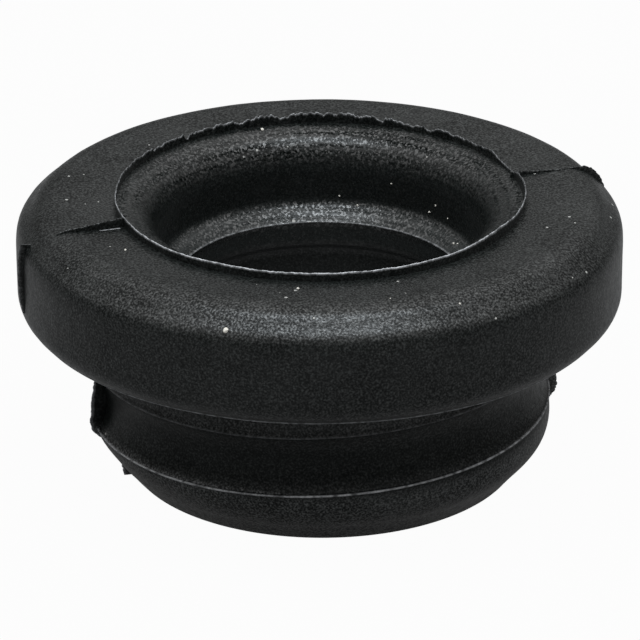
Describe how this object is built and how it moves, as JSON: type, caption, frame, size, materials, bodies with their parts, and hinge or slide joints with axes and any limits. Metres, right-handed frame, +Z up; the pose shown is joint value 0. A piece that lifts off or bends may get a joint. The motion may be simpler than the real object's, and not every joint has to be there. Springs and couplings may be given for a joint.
{
  "type": "sealing ring",
  "caption": "Black rubber sealing ring with a thick round-shouldered flange, a panel groove, a tapered lower lip and a sealing lip inside its bore.",
  "frame": {"origin": "on the ring's axis, in the plane of the foot of the lower lip, which the ring stands on", "axes": "+Z up along the ring's axis, from the lower lip towards the flange; +X along the mould's parting plane, where the flash is"},
  "size_m": [0.031, 0.03, 0.0141],
  "materials": {
    "black_rubber": "matte moulded rubber with a fine grain"
  },
  "bodies": {
    "root": {"sealing_ring": "black_rubber"}
  },
  "joints": []
}
